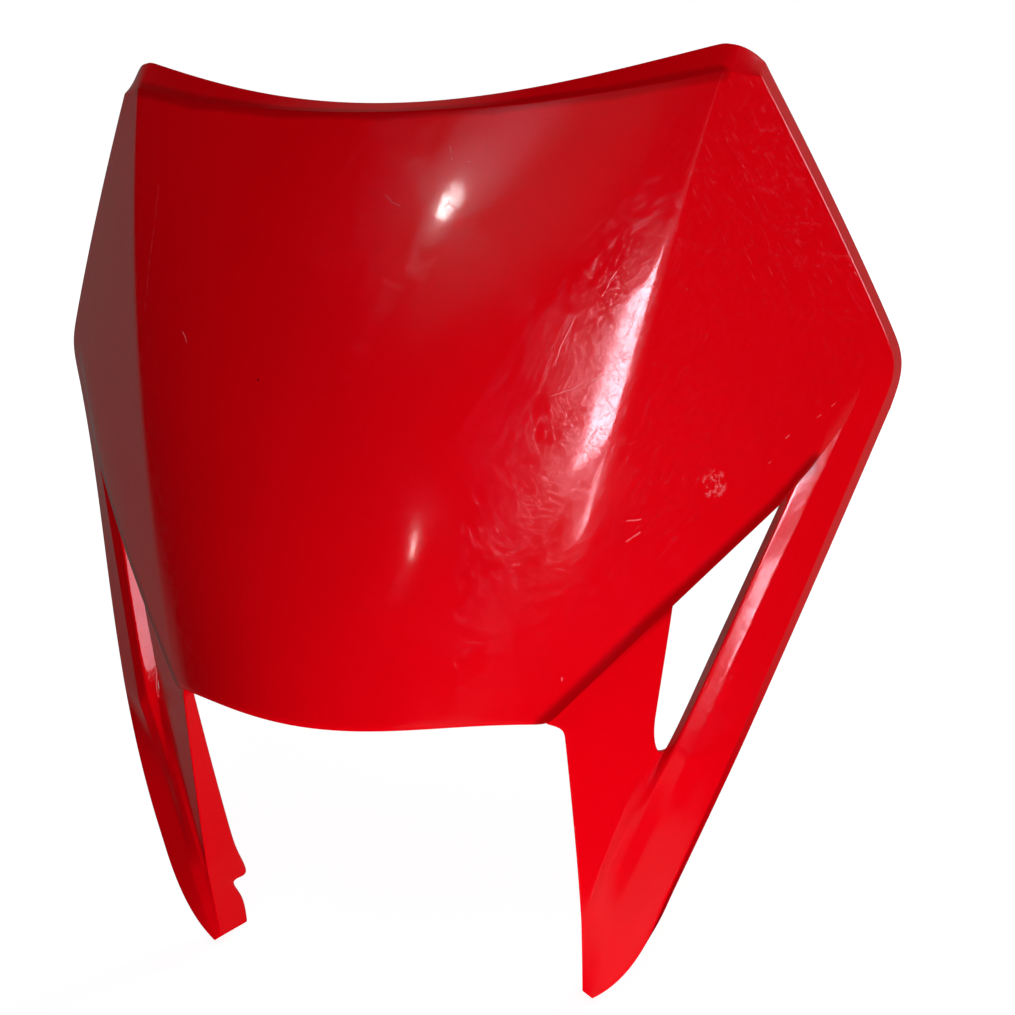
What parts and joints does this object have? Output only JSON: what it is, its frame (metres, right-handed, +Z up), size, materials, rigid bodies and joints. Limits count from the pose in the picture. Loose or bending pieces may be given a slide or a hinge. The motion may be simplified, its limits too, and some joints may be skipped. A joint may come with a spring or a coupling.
{
  "type": "headlight cowl",
  "caption": "Thin moulded front cowl for an off-road motorbike headlight, with a crowned panel, swept side facets, side slots and two pointed legs with hooks.",
  "frame": {"origin": "middle of the overall box", "axes": "+X across to the viewer's right seen from the road, +Y back towards the fork and the rider, +Z up, as mounted on the bike"},
  "size_m": [0.2742, 0.1294, 0.2635],
  "materials": {
    "cowl": "glossy, lightly scratched"
  },
  "bodies": {
    "root": {"cowl": "cowl"}
  },
  "joints": []
}
